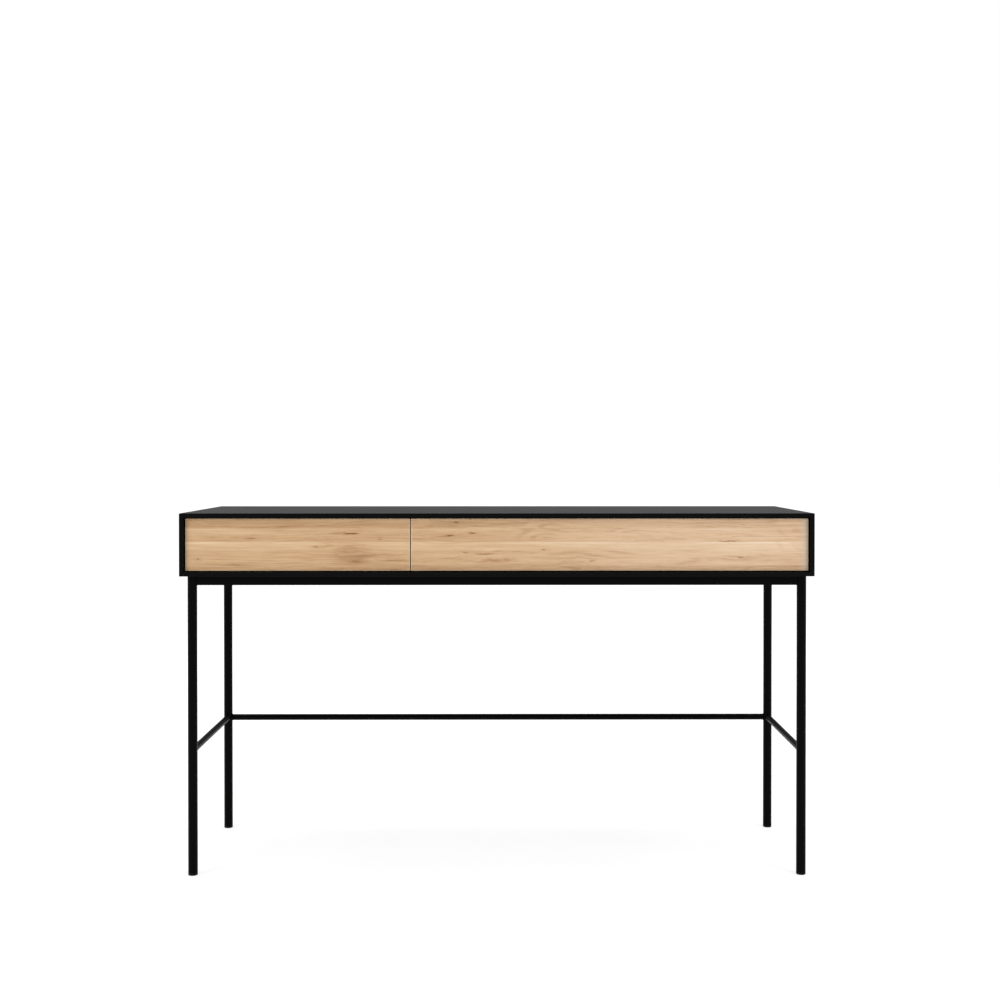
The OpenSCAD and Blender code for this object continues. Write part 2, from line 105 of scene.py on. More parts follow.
def add_node(tree, kind, settings=None, sockets=None, output=0):
    """Any node of a material: its settings first, then what goes into its sockets."""
    made = tree.nodes.new("ShaderNode" + kind)
    for name, value in (settings or {}).items():
        if name == "stops":
            stops = made.color_ramp.elements
            for spare in range(len(value) - len(stops)):
                stops.new(0.5)
            for stop, (where, colour) in zip(stops, value):
                stop.position, stop.color = where, colour
        else:
            setattr(made, name, value)
    for key, value in (sockets or {}).items():
        if isinstance(value, Wire):
            tree.links.new(value.socket, made.inputs[key])
        else:
            made.inputs[key].default_value = value
    return Wire(tree, made.outputs[output])


class Wire:
    """A value that runs through a material. Sums written on it become Math nodes."""

    def __init__(self, tree, socket):
        self.tree = tree
        self.socket = socket

    def maths(self, operation, first, second=0.0):
        return add_node(self.tree, "Math", {"operation": operation}, {0: first, 1: second})

    def __add__(self, other):
        return self.maths("ADD", self, other)

    __radd__ = __add__

    def __sub__(self, other):
        return self.maths("SUBTRACT", self, other)

    def __rsub__(self, other):
        return self.maths("SUBTRACT", other, self)

    def __mul__(self, other):
        return self.maths("MULTIPLY", self, other)

    __rmul__ = __mul__

    def above(self, limit):
        """1 where the value is over the limit, else 0."""
        return self.maths("GREATER_THAN", self, limit)

    def sine(self):
        return self.maths("SINE", self)

    def rise(self, low, high):
        """0 up to the low value, 1 from the high one, and a smooth step between."""
        settings = {"interpolation_type": "SMOOTHSTEP"}
        return add_node(self.tree, "MapRange", settings, {0: self, 1: low, 2: high})

    def fall(self, low, high, start=1.0):
        """The start value up to the low limit, 0 from the high one, and a smooth step between."""
        settings = {"interpolation_type": "SMOOTHSTEP"}
        return add_node(self.tree, "MapRange", settings, {0: self, 1: low, 2: high, 3: start, 4: 0.0})


class Finish:
    """A material being mixed. Its places are in metres in the desk's own frame."""

    def __init__(self, name, fixed=None):
        self.material = bpy.data.materials.new(name)
        self.material.use_nodes = True
        self.tree = self.material.node_tree
        self.tree.nodes.clear()
        self.shader = self.tree.nodes.new("ShaderNodeBsdfPrincipled")
        output = self.tree.nodes.new("ShaderNodeOutputMaterial")
        self.tree.links.new(self.shader.outputs[0], output.inputs[0])
        self.place = self.node("TexCoord", output="Object")
        self.x, self.y, self.z = (
            self.node("SeparateXYZ", None, {0: self.place}, axis) for axis in range(3)
        )
        self.shade(fixed or {})

    def node(self, kind, settings=None, sockets=None, output=0):
        return add_node(self.tree, kind, settings, sockets, output)

    def shade(self, sockets):
        for name, value in sockets.items():
            if isinstance(value, Wire):
                self.tree.links.new(value.socket, self.shader.inputs[name])
            else:
                self.shader.inputs[name].default_value = value

    def noise(self, waves, detail=2.0, shift=(0, 0, 0), place=None):
        """Noise with so many waves a metre along X, Y and Z."""
        start = self.place if place is None else place
        scaled = self.node("VectorMath", {"operation": "MULTIPLY_ADD"}, {0: start, 1: waves, 2: shift})
        return self.node("TexNoise", None, {"Vector": scaled, "Scale": 1.0, "Detail": detail})

    def blend(self, mask, first, second):
        """A colour that goes from the first to the second as the mask goes from 0 to 1."""
        return self.node("Mix", {"data_type": "RGBA"}, {0: mask, 6: first, 7: second}, 2)

    def bump(self, height, depth):
        """Relief, as deep in metres as depth where the height goes from 0 to 1."""
        return self.node("Bump", None, {"Height": height, "Distance": depth, "Strength": 1.0})


def studio_floor():
    opal = Finish("floor_opal_acrylic", {"Specular IOR Level": 0.0, "Emission Strength": 1.0})
    mottle = opal.noise((3, 3, 3))
    reach = opal.node("VectorMath", {"operation": "LENGTH"}, {0: opal.place}, "Value")
    opal.shade({
        "Base Color": opal.blend(mottle, (0.34, 0.34, 0.34, 1), (0.36, 0.36, 0.36, 1)),
        "Roughness": 0.85 + 0.1 * mottle,
        "Emission Color": opal.blend(reach.rise(0.6, 4.0), (0.66, 0.66, 0.66, 1), (1.0, 1.0, 1.0, 1)),
    })
    mesh = bpy.data.meshes.new("studio_floor")
    shape = bmesh.new()
    bmesh.ops.create_circle(shape, cap_ends=True, segments=96, radius=40)
    shape.to_mesh(mesh)
    mesh.materials.append(opal.material)
    floor = bpy.data.objects.new("studio_floor", mesh)
    bpy.context.collection.objects.link(floor)
    return floor


studio_floor()

# The camera sees a white room, and everything else a dim one, as with black flags round a product.
room = bpy.data.worlds.new("studio_room")
room.use_nodes = True
room.node_tree.nodes.clear()
seen = add_node(room.node_tree, "LightPath", output="Is Camera Ray")
glow = add_node(room.node_tree, "Background", None, {"Color": (1, 1, 1, 1), "Strength": 0.30 + 0.70 * seen})
room_output = room.node_tree.nodes.new("ShaderNodeOutputWorld")
room.node_tree.links.new(glow.socket, room_output.inputs[0])
bpy.context.scene.world = room


# ---- Steel frame ------------------------------------------------------------------------------
# Round legs, box-section rails under the case and round low stretchers, cut from mild steel tube.
# Each end is coped to the leg it meets and welded, and the whole frame is powder coated black.

mm = 0.001


def tint(red, green, blue):
    """A paint-chart colour from 0 to 255 as the light that it reflects."""
    share = [channel / 255 for channel in (red, green, blue)]
    return tuple(c / 12.92 if c <= 0.04045 else ((c + 0.055) / 1.055) ** 2.4 for c in share) + (1.0,)


powder = Finish("black_powder_coat", {"Specular IOR Level": 0.04})
powder_speck = powder.noise((1400, 1400, 1400), 1.0)
powder_peel = powder.noise((420, 420, 420), 2.0, (3, 1, 7))
powder_drift = powder.noise((9, 9, 9), 2.0)
powder.shade({
    "Base Color": powder.blend(powder_drift, tint(2, 2, 2), tint(5, 5, 5)),
    "Roughness": 0.27 + 0.08 * powder_drift + 0.06 * powder_speck,
    "Normal": powder.bump(powder_peel + 0.35 * powder_speck, 0.05 * mm),
})


real_edge = math.radians(38)
flat_enough = math.radians(0.5)


def new_piece(name, mesh, *materials):
    """Puts a mesh in the scene with its materials, smooth but for its real edges."""
    mesh.materials.clear()
    for material in materials:
        mesh.materials.append(material)
    mesh.shade_smooth()
    mesh.set_sharp_from_angle(angle=real_edge)
    piece = bpy.data.objects.new(name, mesh)
    bpy.context.collection.objects.link(piece)
    return piece


def softened(node, name, radius, *materials, shortest=2.5 * mm):
    """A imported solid's shape with its sharp edges, from the shortest up, broken by a small radius."""
    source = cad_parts[node].data
    shape = bmesh.new()
    corners = [shape.verts.new(vertex.co) for vertex in source.vertices]
    for face in source.polygons:
        shape.faces.new([corners[index] for index in face.vertices])
    bmesh.ops.remove_doubles(shape, verts=shape.verts, dist=1e-6)
    bmesh.ops.dissolve_limit(shape, angle_limit=flat_enough, verts=shape.verts, edges=shape.edges)
    square = [
        edge for edge in shape.edges
        if edge.is_manifold and edge.calc_length() > shortest
        and edge.calc_face_angle() > real_edge
    ]
    bmesh.ops.bevel(
        shape, geom=square, offset=radius, segments=3, profile=0.5, affect="EDGES", clamp_overlap=True,
    )
    mesh = bpy.data.meshes.new(name)
    shape.to_mesh(mesh)
    shape.free()
    piece = new_piece(name, mesh, *materials)
    piece.modifiers.new("even_faces", "WEIGHTED_NORMAL").keep_sharp = True
    return piece


def fasten(piece, body, slot, *nodes):
    """Hangs a piece on its body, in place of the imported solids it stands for."""
    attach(piece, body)
    if nodes:
        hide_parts(*nodes)


def middle_of(node):
    low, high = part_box(node)
    return (Vector(low) + Vector(high)) / 2


leg_nodes = ("front_left_leg", "front_right_leg", "back_left_leg", "back_right_leg")
rail_nodes = ("front_rail", "back_rail", "left_rail", "right_rail")
stretcher_nodes = ("left_stretcher", "right_stretcher", "back_stretcher")

# A leg is only deburred at its ends, and a rail keeps the corners it was rolled with. The sharp
# edges of a stretcher are its coped ends, under the welds, and shorter than the limit given here.
for nodes, radius, shortest in (
    (leg_nodes, 0.3 * mm, 0), (rail_nodes, 1.2 * mm, 2.5 * mm), (stretcher_nodes, 0.2 * mm, 1.0),
):
    for node in nodes:
        tube = softened(node, node + "_tube", radius, powder.material, shortest=shortest)
        fasten(tube, "case", "frame_powder_coat", node)


# Weld beads: a small rippled fillet runs round each stretcher where it meets its leg, and down one
# side of each rail, under it and up the other. The coating covers them.

bead_radius = 1.1 * mm
bead_swell = 0.12
ripple_pitch = 1.6 * mm
bead_step = 0.4 * mm
bead_sides = 10
ring_points = 72


def swept(shape, path, radii, closed):
    """Adds a round bar along a path to a mesh being made, with its own radius at each point."""
    rings = []
    count = len(path)
    for i, point in enumerate(path):
        after = path[(i + 1) % count] if closed or i < count - 1 else point
        before = path[i - 1] if closed or i > 0 else point
        ahead = (after - before).normalized()
        out = ahead.orthogonal() if not rings else out - ahead * out.dot(ahead)
        out = out.normalized()
        side = ahead.cross(out)
        turns = [2 * math.pi * k / bead_sides for k in range(bead_sides)]
        rings.append([
            shape.verts.new(point + radii[i] * (math.cos(t) * out + math.sin(t) * side)) for t in turns
        ])
    for i in range(count if closed else count - 1):
        near, far = rings[i], rings[(i + 1) % count]
        slip = 0
        if closed and i == count - 1:
            slip = min(range(bead_sides), key=lambda k: (near[0].co - far[k].co).length)
        for k in range(bead_sides):
            shape.faces.new((
                near[k], near[(k + 1) % bead_sides],
                far[(k + 1 + slip) % bead_sides], far[(k + slip) % bead_sides],
            ))
    if not closed:
        shape.faces.new(reversed(rings[0]))
        shape.faces.new(rings[-1])


def rippled(path, closed):
    """Radii that swell and sink along the path as a hand-laid bead does."""
    length, radii = 0.0, []
    for i, point in enumerate(path):
        length += (point - path[i - 1]).length if i else 0.0
        swell = bead_swell * math.sin(2 * math.pi * length / ripple_pitch)
        radii.append(bead_radius * (1 + swell))
    return radii


def even_steps(corners, step):
    """The corners joined by straight runs of points about a step apart."""
    points = []
    for start, end in zip(corners, corners[1:]):
        pieces = max(1, round((end - start).length / step))
        points += [start.lerp(end, i / pieces) for i in range(pieces)]
    return points + [corners[-1]]


def beads_of_frame():
    shape = bmesh.new()
    leg_low, leg_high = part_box("front_left_leg")
    leg_radius = (leg_high[0] - leg_low[0]) / 2
    up = Vector((0, 0, 1))
    for tube, ends in (
        ("left_stretcher", ("front_left_leg", "back_left_leg")),
        ("right_stretcher", ("front_right_leg", "back_right_leg")),
        ("back_stretcher", ("back_left_leg", "back_right_leg")),
    ):
        low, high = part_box(tube)
        tube_radius = (high[2] - low[2]) / 2
        for leg in ends:
            joint = middle_of(leg)
            joint.z = middle_of(tube).z
            along = (middle_of(tube) - joint).normalized()
            across = along.cross(up)
            ring = []
            for k in range(ring_points):
                turn = 2 * math.pi * k / ring_points
                aside = tube_radius * math.cos(turn)
                reach = math.sqrt(leg_radius ** 2 - aside ** 2)
                ring.append(joint + aside * across + tube_radius * math.sin(turn) * up + reach * along)
            swept(shape, ring, rippled(ring, True), True)
    for rail, ends in (
        ("front_rail", ("front_left_leg", "front_right_leg")),
        ("back_rail", ("back_left_leg", "back_right_leg")),
        ("left_rail", ("front_left_leg", "back_left_leg")),
        ("right_rail", ("front_right_leg", "back_right_leg")),
    ):
        low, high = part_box(rail)
        half_width = min(high[0] - low[0], high[1] - low[1]) / 2
        for leg in ends:
            joint = middle_of(leg)
            joint.z = 0
            centre = middle_of(rail)
            centre.z = 0
            along = (centre - joint).normalized()
            across = along.cross(up)
            corners = [(-half_width, high[2] - bead_radius), (-half_width, low[2])]
            corners += [(half_width, low[2]), (half_width, high[2] - bead_radius)]
            run = []
            for point in even_steps([Vector((a, 0, b)) for a, b in corners], bead_step):
                reach = math.sqrt(leg_radius ** 2 - point.x ** 2)
                run.append(joint + point.x * across + point.z * up + reach * along)
            swept(shape, run, rippled(run, False), False)
    bmesh.ops.recalc_face_normals(shape, faces=shape.faces)
    mesh = bpy.data.meshes.new("frame_weld_beads")
    shape.to_mesh(mesh)
    shape.free()
    return new_piece("frame_weld_beads", mesh, powder.material)


fasten(beads_of_frame(), "case", "frame_powder_coat")


# ---- Foot caps --------------------------------------------------------------------------------
# Injection-moulded black plastic plugs, pushed into the leg tubes. The foot is as wide as the tube,
# with a rounded lower edge, a fine seam under the tube and a shallow dished ring underneath.

plastic = Finish("black_moulded_plastic", {"Specular IOR Level": 0.10})
plastic_spark = plastic.noise((2600, 2600, 2600), 2.0)
plastic_flow = plastic.noise((40, 40, 12), 2.0)
plastic.shade({
    "Base Color": plastic.blend(plastic_flow, tint(6, 6, 6), tint(11, 11, 11)),
    "Roughness": 0.48 + 0.16 * plastic_spark,
    "Normal": plastic.bump(plastic_spark, 0.03 * mm),
})


def turned(shape, outline, centre, sides=72):
    """Adds a shape turned about an upright axis, from its outline of (radius, height) points."""
    rings = []
    for radius, height in outline:
        if radius == 0:
            rings.append([shape.verts.new(centre + Vector((0, 0, height)))])
            continue
        turns = [2 * math.pi * k / sides for k in range(sides)]
        rings.append([
            shape.verts.new(centre + Vector((radius * math.cos(t), radius * math.sin(t), height)))
            for t in turns
        ])
    for near, far in zip(rings, rings[1:]):
        for k in range(sides):
            corners = [near[k % len(near)], near[(k + 1) % len(near)]]
            corners += [far[(k + 1) % len(far)], far[k % len(far)]]
            shape.faces.new(list(dict.fromkeys(corners)))


def arc(centre_r, centre_z, radius, start, end, steps=6):
    """Points of a round stretch of outline, by angle in degrees from straight out."""
    angles = [math.radians(start + (end - start) * k / steps) for k in range(steps + 1)]
    return [(centre_r + radius * math.cos(a), centre_z + radius * math.sin(a)) for a in angles]


leg_low, leg_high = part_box("front_left_leg")
foot_radius = (leg_high[0] - leg_low[0]) / 2
foot_height = leg_low[2]
tube_wall = 1.65 * mm
rib_depth = 0.8 * mm
rib_height = 1.1 * mm
plug_radius = foot_radius - tube_wall
core_radius = plug_radius - rib_depth
plug_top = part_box("foot_caps")[1][2]
nose = 1.0 * mm
rounding = 1.6 * mm
seam = 0.35 * mm
dish_radius = 3.0 * mm
dish_depth = 0.5 * mm
dish_slope = 0.6 * mm
groove_radius = 6.9 * mm
groove_half = 0.5 * mm
groove_depth = 0.4 * mm

foot_outline = [(0, dish_depth), (dish_radius, dish_depth), (dish_radius + dish_slope, 0)]
foot_outline += [(groove_radius - groove_half, 0), (groove_radius, groove_depth)]
foot_outline += [(groove_radius + groove_half, 0)]
foot_outline += arc(foot_radius - rounding, rounding, rounding, -90, 0)
foot_outline += [(foot_radius, foot_height - 2.2 * seam), (foot_radius - seam, foot_height - seam)]
foot_outline += [(foot_radius - seam, foot_height), (core_radius, foot_height)]
for share in (0.2, 0.5, 0.8):
    rib_z = foot_height + share * (plug_top - foot_height)
    foot_outline += [(core_radius, rib_z), (plug_radius, rib_z + 0.3 * rib_height)]
    foot_outline += [(plug_radius, rib_z + 0.6 * rib_height), (core_radius, rib_z + rib_height)]
foot_outline += [(core_radius, plug_top - nose), (core_radius - nose, plug_top), (0, plug_top)]

foot_shape = bmesh.new()
for node in leg_nodes:
    under = middle_of(node)
    under.z = 0
    turned(foot_shape, foot_outline, under)
bmesh.ops.recalc_face_normals(foot_shape, faces=foot_shape.faces)
foot_mesh = bpy.data.meshes.new("moulded_foot_caps")
foot_shape.to_mesh(foot_mesh)
feet = new_piece("moulded_foot_caps", foot_mesh, plastic.material)
fasten(feet, "case", "black_plastic", "foot_caps")


# ---- Screws and inserts in the frame ----------------------------------------------------------
# Zinc-plated pan head screws pull the rails up against brass inserts in the case bottom. The plating
# is bright with a faint blue and yellow cast, the brass is turned.


def plated(name, grain, dull=0.0):
    """Zinc plating over steel, with rolling marks of so many waves a metre along each axis."""
    zinc = Finish(name, {"Metallic": 1.0})
    marks = zinc.noise(grain, 3.0)
    cloud = zinc.noise((60, 60, 60), 2.0, (5, 2, 1))
    cast = zinc.blend(cloud.rise(0.35, 0.65), tint(196, 199, 204), tint(205, 201, 190))
    zinc.shade({
        "Base Color": zinc.blend(0.35 * marks, cast, tint(150, 152, 156)),
        "Roughness": 0.26 + dull + 0.18 * marks + 0.08 * cloud,
        "Normal": zinc.bump(marks, 0.006 * mm),
    })
    return zinc.material


def dress(node, material):
    """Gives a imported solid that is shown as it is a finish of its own."""
    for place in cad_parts[node].material_slots:
        place.material = material


screw_zinc = plated("zinc_plated_screws", (900, 900, 900), 0.06)
dress("frame_screws", screw_zinc)

brass = Finish("turned_brass", {"Metallic": 1.0})
brass_rings = brass.noise((700, 700, 5200), 2.0)
brass.shade({
    "Base Color": brass.blend(brass_rings, tint(206, 172, 104), tint(182, 146, 82)),
    "Roughness": 0.28 + 0.16 * brass_rings,
    "Normal": brass.bump(brass_rings, 0.02 * mm),
})
dress("threaded_inserts", brass.material)


# ---- Case -------------------------------------------------------------------------------------
# Four 10 mm boards, mitred and glued with tongues so that no edge shows, with small rounded arrises.
# They are sprayed matt charcoal black, so that the pores of the board barely show through.

lacquer = Finish("charcoal_lacquer", {"Specular IOR Level": 0.06})
lacquer_cloud = lacquer.noise((5, 5, 5), 2.0)
lacquer_mist = lacquer.noise((1100, 1100, 1100), 1.0)
lacquer_pores = lacquer.noise((26, 900, 900), 2.0, (2, 9, 4)).rise(0.60, 0.78)
lacquer.shade({
    "Base Color": lacquer.blend(lacquer_cloud, tint(3, 4, 3), tint(6, 7, 6)),
    "Roughness": 0.25 + 0.05 * lacquer_cloud + 0.04 * lacquer_mist,
    "Normal": lacquer.bump(0.5 * lacquer_mist - 0.5 * lacquer_pores, 0.012 * mm),
})

case_arris = 0.9 * mm


def mitred_board(name, length, thickness, depth, turn, centre):
    """A board mitred at both ends, outer face up before it is turned, rounded along its edges.

    The outline is drawn across the length; its sections shrink towards the front and rear edges.
    """

    def outline(inset):
        """The section with its faces set in, and the outer corners rounded up to the mitre."""
        round_r = case_arris - inset
        corner = length / 2 - case_arris
        turns = [math.radians(a) for a in (0, 15, 30, 45)]
        half = [
            (corner + round_r * math.sin(t), -case_arris + round_r * math.cos(t)) for t in turns
        ]
        half.append((length / 2 - thickness + inset, -thickness + inset))
        return half + [(-u, v) for u, v in reversed(half)]

    steps = 4
    angles = [math.radians(90 * k / steps) for k in range(steps + 1)]
    deepest = 0.98 * case_arris
    ends = [(deepest * (1 - math.sin(a)), case_arris * (1 - math.cos(a))) for a in angles]
    sections = [(inset, -depth / 2 + back) for inset, back in ends]
    sections += [(inset, depth / 2 - back) for inset, back in reversed(ends)]
    shape = bmesh.new()
    rings = [
        [shape.verts.new(turn @ Vector((u, y, v)) + centre) for u, v in outline(inset)]
        for inset, y in sections
    ]
    for near, far in zip(rings, rings[1:]):
        for k in range(len(near)):
            shape.faces.new((near[k], near[(k + 1) % len(near)], far[(k + 1) % len(far)], far[k]))
    shape.faces.new(rings[0])
    shape.faces.new(rings[-1])
    bmesh.ops.recalc_face_normals(shape, faces=shape.faces)
    mesh = bpy.data.meshes.new(name)
    shape.to_mesh(mesh)
    shape.free()
    piece = new_piece(name, mesh, lacquer.material)
    piece.modifiers.new("even_faces", "WEIGHTED_NORMAL").keep_sharp = True
    return piece


top_low, top_high = (Vector(corner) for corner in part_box("top_panel"))
bottom_low, bottom_high = (Vector(corner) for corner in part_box("bottom_panel"))
board_t = top_high.z - top_low.z
case_depth = top_high.y - top_low.y
case_width = top_high.x - top_low.x
case_height = top_high.z - bottom_low.z
case_middle_z = (top_high.z + bottom_low.z) / 2

for node, length, turn, centre in (
    ("top_panel", case_width, Matrix(), (0, 0, top_high.z)),
    ("bottom_panel", case_width, Matrix.Rotation(math.pi, 4, "Y"), (0, 0, bottom_low.z)),
    ("left_side_panel", case_height, Matrix.Rotation(-math.pi / 2, 4, "Y"), (top_low.x, 0, case_middle_z)),
    ("right_side_panel", case_height, Matrix.Rotation(math.pi / 2, 4, "Y"), (top_high.x, 0, case_middle_z)),
):
    board = mitred_board(node + "_board", length, board_t, case_depth, turn, Vector(centre))
    fasten(board, "case", "case_lacquer", node)

for node, arris in (("back_panel", 0.4 * mm), ("divider_panel", 0.7 * mm)):
    panel = softened(node, node + "_board", arris, lacquer.material)
    fasten(panel, "case", "case_lacquer", node)


# Tongues and dowels: beech, glued into the mitres and into the ends of the divider. The dowels are
# fluted along their length so that the glue can get past.

beech = Finish("raw_beech", {"Specular IOR Level": 0.3})
beech_fibre = beech.noise((500, 30, 500), 3.0)
beech_fleck = beech.noise((900, 120, 900), 1.0, (1, 6, 2)).rise(0.62, 0.72)
beech.shade({
    "Base Color": beech.blend(beech_fibre - 0.4 * beech_fleck, tint(190, 146, 104), tint(221, 184, 142)),
    "Roughness": 0.68 + 0.14 * beech_fibre,
    "Normal": beech.bump(beech_fibre, 0.05 * mm),
})
tongues = softened("mitre_splines", "beech_mitre_tongues", 0.3 * mm, beech.material)
dowels = softened("divider_dowels", "beech_dowels", 0.6 * mm, beech.material, shortest=0)
fasten(tongues, "case", "beech", "mitre_splines")
fasten(dowels, "case", "beech", "divider_dowels")


# ---- Ball-bearing slides ----------------------------------------------------------------------
# Three nested channels of rolled steel on each side of a drawer, zinc plated. The outer one is
# screwed to the case and the inner one to the box. Strips of sheet keep the hardened balls apart.

rolled_zinc = plated("rolled_zinc_channel", (1600, 14, 1600))
for size in ("narrow", "wide"):
    for member, body in (
        ("outer_slides", "case"), ("middle_slides", size + "_middle"), ("inner_slides", size + "_drawer"),
    ):
        node = size + "_" + member
        channel = softened(node, node + "_channels", 0.35 * mm, rolled_zinc)
        fasten(channel, body, "zinc_steel", node)

ball_steel = plated("polished_balls_and_cages", (300, 60, 300), -0.12)
for node in (
    "narrow_outer_ball_cages", "narrow_inner_ball_cages", "wide_outer_ball_cages", "wide_inner_ball_cages",
):
    dress(node, ball_steel)
for node in ("case_slide_screws", "narrow_slide_screws", "wide_slide_screws"):
    dress(node, screw_zinc)


# ---- Push latches -----------------------------------------------------------------------------
# Black plastic barrels screwed to the back panel, each with a spring behind a sliding plunger. The
# plunger's soft tip presses on a plated strike plate stuck to the drawer's back.

housings = softened("latch_housings", "moulded_latch_housings", 0.5 * mm, plastic.material)
fasten(housings, "case", "black_plastic", "latch_housings")
dress("latch_screws", screw_zinc)

for node, body in (("narrow_plunger", "narrow_latch"), ("wide_plungers", "wide_latch")):
    plunger = softened(node, node + "_rod", 0.4 * mm, plastic.material, shortest=0)
    fasten(plunger, body, "black_plastic", node)

for node, body in (("narrow_strike_plate", "narrow_drawer"), ("wide_strike_plates", "wide_drawer")):
    plate = softened(node, node + "_sheet", 0.25 * mm, rolled_zinc, shortest=0)
    fasten(plate, body, "zinc_steel", node)

spring_wire = Finish("drawn_spring_wire", {"Metallic": 1.0})
wire_marks = spring_wire.noise((2400, 2400, 2400), 2.0)
spring_wire.shade({
    "Base Color": spring_wire.blend(wire_marks, tint(140, 140, 143), tint(176, 176, 180)),
    "Roughness": 0.30 + 0.15 * wire_marks,
})

spring_low, spring_high = (Vector(corner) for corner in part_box("latch_springs"))
wire_r = 0.4 * mm
coil_r = (spring_high.z - spring_low.z) / 2 - wire_r
coils = 7
coil_steps = 24
spring_shape = bmesh.new()
for node in ("narrow_plunger", "wide_plungers"):
    low, high = (Vector(corner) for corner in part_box(node))
    half = (high.z - low.z) / 2
    for x in sorted({round(low.x + half, 6), round(high.x - half, 6)}):
        path = []
        for k in range(coils * coil_steps + 1):
            turn = 2 * math.pi * k / coil_steps
            run = k / (coils * coil_steps)
            y = spring_low.y + wire_r + run * (spring_high.y - spring_low.y - 2 * wire_r)
            z = (spring_low.z + spring_high.z) / 2
            path.append(Vector((x + coil_r * math.cos(turn), y, z + coil_r * math.sin(turn))))
        swept(spring_shape, path, [wire_r] * len(path), False)
bmesh.ops.recalc_face_normals(spring_shape, faces=spring_shape.faces)
spring_mesh = bpy.data.meshes.new("latch_spring_coils")
spring_shape.to_mesh(spring_mesh)
springs = new_piece("latch_spring_coils", spring_mesh, spring_wire.material)
fasten(springs, "case", "spring_steel", "latch_springs")


# ---- Drawer boxes -----------------------------------------------------------------------------
# Birch plywood, 12 mm round the sides and 6 mm for the bottoms, rebated at the corners and grooved
# for the bottoms. The faces are clear lacquered veneer, and the edges show the plies.


def birch_face(name, along):
    """Rotary-cut birch veneer, its grain running along X (0) or Y (1)."""
    veneer = Finish(name, {"Specular IOR Level": 0.4})
    waves = [34, 34, 34]
    waves[along] = 2.4
    fibres = [760, 760, 760]
    fibres[along] = 18
    contours = 46
    figure = (veneer.noise(tuple(waves), 1.0, (4, 8, 2)) * contours).sine()
    fibre = veneer.noise(tuple(fibres), 3.0)
    patch = veneer.noise((3, 3, 3), 2.0, (7, 1, 1))
    tone = 0.5 + 0.16 * figure + 0.5 * (fibre - 0.5) + 0.5 * (patch - 0.5)
    veneer.shade({
        "Base Color": veneer.blend(tone, tint(170, 143, 108), tint(199, 178, 146)),
        "Roughness": 0.44 + 0.12 * fibre,
        "Normal": veneer.bump(fibre, 0.03 * mm),
    })
    return veneer.material


def birch_edge(name, axis, face_at, ply):
    """The plies seen from the edge, stacked along an axis from one face, each so thick in metres."""
    layers = Finish(name, {"Specular IOR Level": 0.3})
    across = (layers.x, layers.y, layers.z)[axis]
    stripe = ((across - face_at) * (math.pi / ply)).sine().rise(-0.25, 0.25)
    ends = layers.noise((900, 900, 900), 2.0)
    run = layers.noise((40, 40, 40), 2.0, (2, 2, 8))
    light = layers.blend(run, tint(190, 165, 131), tint(203, 182, 150))
    dark = layers.blend(ends, tint(128, 92, 61), tint(160, 126, 92))
    layers.shade({
        "Base Color": layers.blend(0.75 * stripe, light, dark),
        "Roughness": 0.58 + 0.16 * ends,
        "Normal": layers.bump(ends - 0.4 * stripe, 0.04 * mm),
    })
    return layers.material


def by_direction(piece, axis):
    """Puts the second material on every face that doesn't look along the axis."""
    for face in piece.data.polygons:
        face.material_index = 0 if abs(face.normal[axis]) > 0.9 else 1


veneer_along_x = birch_face("birch_veneer_along_desk", 0)
veneer_along_y = birch_face("birch_veneer_front_to_back", 1)
for size in ("narrow", "wide"):
    for part, axis, plies, veneer in (
        ("box_front", 1, 9, veneer_along_x), ("box_back", 1, 9, veneer_along_x),
        ("box_left", 0, 9, veneer_along_y), ("box_right", 0, 9, veneer_along_y),
        ("box_bottom", 2, 5, veneer_along_x),
    ):
        node = size + "_" + part
        low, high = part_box(node)
        thickness = high[axis] - low[axis]
        edge_finish = birch_edge(node + "_plies", axis, low[axis], thickness / plies)
        panel = softened(node, node + "_plywood", 0.5 * mm, veneer, edge_finish)
        by_direction(panel, axis)
        fasten(panel, size + "_drawer", "birch_plywood", node)
    dress(size + "_front_screws", screw_zinc)


# ---- Oak drawer fronts ------------------------------------------------------------------------
# Both fronts are cut from one board, glued up from four staves of pale oak, so that the grain runs
# on across the gap. The arrises are broken by hand, and the oil is clear and dead matt.

fronts_low = Vector(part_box("narrow_drawer_front")[0])
fronts_high = Vector(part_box("wide_drawer_front")[1])
glue_lines = (22.8 * mm, 53.8 * mm, 108.4 * mm)

